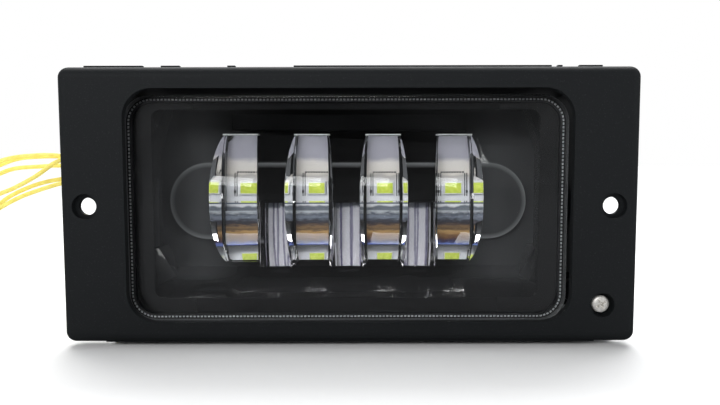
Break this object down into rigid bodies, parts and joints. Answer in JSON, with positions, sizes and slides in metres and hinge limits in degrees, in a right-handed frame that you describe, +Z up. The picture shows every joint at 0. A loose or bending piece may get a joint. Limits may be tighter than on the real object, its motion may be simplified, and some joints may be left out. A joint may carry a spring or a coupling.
{
  "type": "rectangular fog light",
  "caption": "Rectangular LED fog light: clear lens blocks behind a flat glass, in a black frame with side mounting holes, an aiming screw and rear leads.",
  "frame": {"origin": "under the middle of the lamp, at the surface it stands on, half way through its depth", "axes": "+X to the right as seen from the front, +Y from the face to the fins, +Z up as the lamp stands"},
  "size_m": [0.2922, 0.071, 0.0916],
  "materials": {
    "frame_plastic": "moulded, fine grain",
    "plated_steel": "zinc plated",
    "housing_plastic": "moulded",
    "nylon": "natural nylon",
    "clear_glass": "clear, knurled near its edge",
    "seal_rubber": "silicone bead",
    "mask_plastic": "gloss black",
    "lens_acrylic": "clear acrylic",
    "bronze_film": "metallised, bronze tone",
    "board_white": "white solder mask",
    "phosphor": "yellow-green phosphor in white bodies",
    "pad_grey": "soft",
    "cast_aluminium": "as cast",
    "board_green": "green solder mask",
    "ferrite": "ferrite and lacquer",
    "capacitor_cans": "sleeved can",
    "chip_epoxy": "moulded epoxy",
    "red_wire": "PVC sleeve",
    "grommet_rubber": "moulded rubber",
    "vent_rubber": "moulded rubber",
    "yellow_pvc": "PVC sleeve",
    "tinned_copper": "tinned strands",
    "tie_nylon": "nylon",
    "bright_nickel": "nickel plated",
    "nut_nylon": "black nylon"
  },
  "bodies": {
    "frame": {"front_frame": "frame_plastic", "pivot_pins": "plated_steel"},
    "lamp_unit": {"unit_housing": "housing_plastic", "pivot_bushes": "nylon", "front_glass": "clear_glass", "glass_seal": "seal_rubber", "inner_mask": "mask_plastic", "lens_block_1": "lens_acrylic", "lens_block_2": "lens_acrylic", "lens_block_3": "lens_acrylic", "lens_block_4": "lens_acrylic", "infill_lens_1": "lens_acrylic", "infill_lens_2": "lens_acrylic", "infill_lens_3": "lens_acrylic", "streak_reflectors": "bronze_film", "led_board": "board_white", "upper_leds": "phosphor", "lower_leds": "phosphor", "board_screws": "plated_steel", "thermal_pad": "pad_grey", "heat_spreader": "cast_aluminium", "spreader_screws": "plated_steel", "driver_board": "board_green", "driver_choke": "ferrite", "driver_capacitors": "capacitor_cans", "driver_chip": "chip_epoxy", "inner_wires": "red_wire", "heat_sink": "cast_aluminium", "heat_sink_gasket": "seal_rubber", "heat_sink_screws": "plated_steel", "lead_grommet": "grommet_rubber", "breather_vent": "vent_rubber", "lead_1": "yellow_pvc", "lead_2": "yellow_pvc", "lead_ends": "tinned_copper", "cable_tie": "tie_nylon"},
    "aim_screw": {"adjusting_screw": "bright_nickel", "screw_retainer": "plated_steel"},
    "aim_nut": {"adjuster_nut": "nut_nylon"}
  },
  "joints": [
    {"name": "unit_tilt", "type": "hinge", "parent": "frame", "child": "lamp_unit", "pos_m": [0, -0.0095, 0.0448], "axis": [1, 0, 0], "range_deg": [-3, 3]},
    {"name": "screw_turn", "type": "hinge", "parent": "frame", "child": "aim_screw", "pos_m": [0.0818, 0, 0.014], "axis": [0, 1, 0], "range_deg": [-970, 970]},
    {"name": "nut_travel", "type": "slide", "parent": "frame", "child": "aim_nut", "axis": [0, 1, 0], "range_m": [-0.00165, 0.00165]}
  ],
  "couplings": [
    {"joint": "nut_travel", "follows": "unit_tilt", "m_per_rad": 0.0308},
    {"joint": "screw_turn", "follows": "unit_tilt", "ratio": -322.54}
  ]
}
